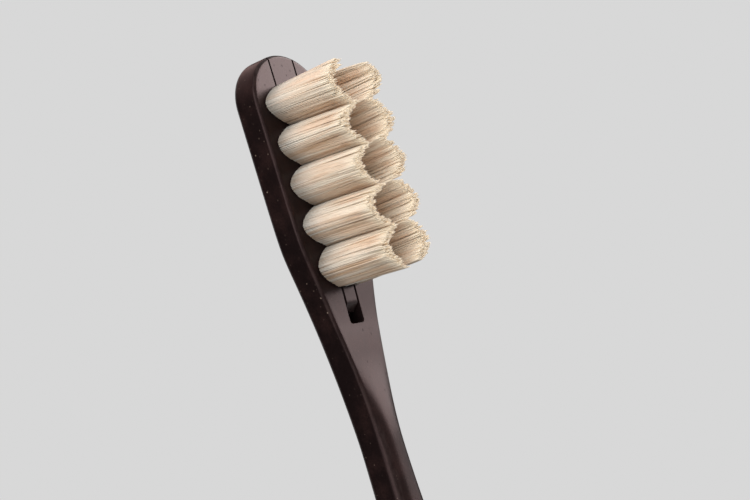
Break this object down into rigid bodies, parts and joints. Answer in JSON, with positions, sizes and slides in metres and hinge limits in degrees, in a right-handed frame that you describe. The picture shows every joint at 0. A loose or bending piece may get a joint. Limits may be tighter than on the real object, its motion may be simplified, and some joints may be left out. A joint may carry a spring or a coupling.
{
  "type": "manual toothbrush",
  "caption": "Flat manual toothbrush whose cartridge of wavy natural bristles slides out over the tip of the head and is held by a release tongue in the neck.",
  "frame": {"origin": "middle of the length and width, on the surface that the brush lies on when its back is down", "axes": "+X from the tip of the head to the end of the grip, +Z out of the bristle face, +Y across the brush"},
  "size_m": [0.1898, 0.0144, 0.0132],
  "materials": {
    "handle": "satin dark brown bio-composite with fine pale flecks",
    "carrier": "satin dark brown bio-composite",
    "bristles": "natural cream plant fibre bristles, frayed at the tips"
  },
  "bodies": {
    "handle_body": {"handle": "handle"},
    "cartridge": {"bristle_carrier": "carrier", "bristles_left_1": "bristles", "bristles_left_2": "bristles", "bristles_left_3": "bristles", "bristles_left_4": "bristles", "bristles_left_5": "bristles", "bristles_right_1": "bristles", "bristles_right_2": "bristles", "bristles_right_3": "bristles", "bristles_right_4": "bristles", "bristles_right_5": "bristles"},
    "tongue": {"release_tongue": "carrier"}
  },
  "joints": [
    {"name": "cartridge_slide", "type": "slide", "parent": "handle_body", "child": "cartridge", "axis": [-1, 0, 0], "range_m": [0, 0.03]},
    {"name": "tongue_flex", "type": "hinge", "parent": "cartridge", "child": "tongue", "pos_m": [-0.06685, 0, 0.0035], "axis": [0, -1, 0], "range_deg": [0, 10], "stiffness_Nm_per_rad": 0.02}
  ]
}
